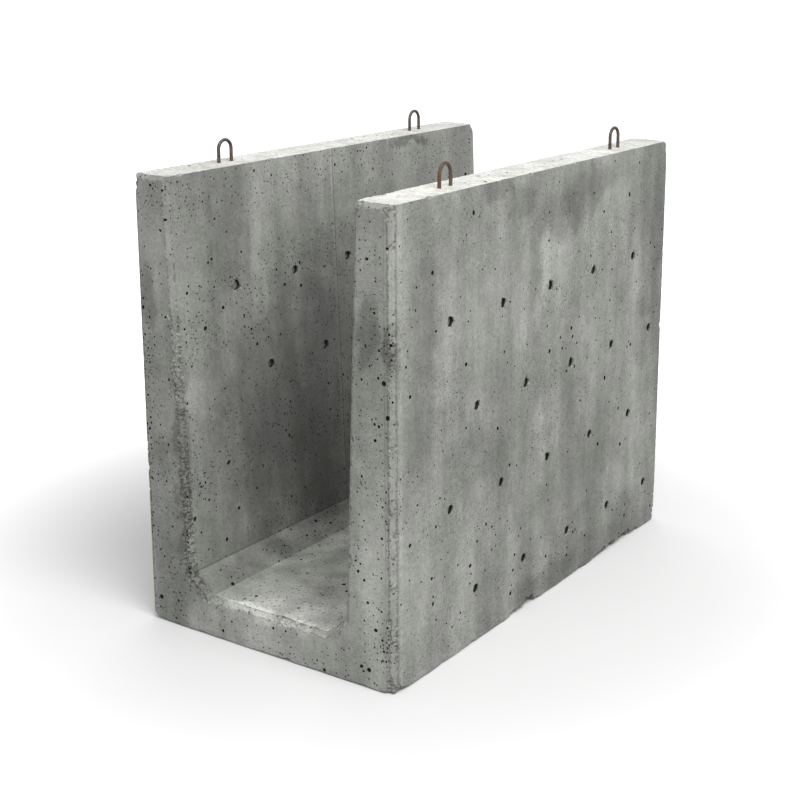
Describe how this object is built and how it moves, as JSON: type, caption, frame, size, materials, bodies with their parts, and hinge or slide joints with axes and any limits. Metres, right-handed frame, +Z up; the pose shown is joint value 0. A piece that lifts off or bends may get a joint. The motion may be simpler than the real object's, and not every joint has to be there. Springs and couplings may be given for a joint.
{
  "type": "concrete drainage channel",
  "caption": "U-shaped precast concrete drainage channel with tapered walls, haunched bed, chamfered end faces, form tie recesses and steel lifting loops on the wall tops.",
  "frame": {"origin": "centre of the underside of the casting", "axes": "+Y along the channel, away from its front end; +X across it, towards the right wall; +Z up"},
  "size_m": [1.005, 1.745, 1.578],
  "materials": {
    "concrete": "matte form-finished concrete",
    "loop_steel": "rusted"
  },
  "bodies": {
    "root": {"channel_body": "concrete", "lifting_loop_left_front": "loop_steel", "lifting_loop_right_front": "loop_steel", "lifting_loop_left_back": "loop_steel", "lifting_loop_right_back": "loop_steel"}
  },
  "joints": []
}
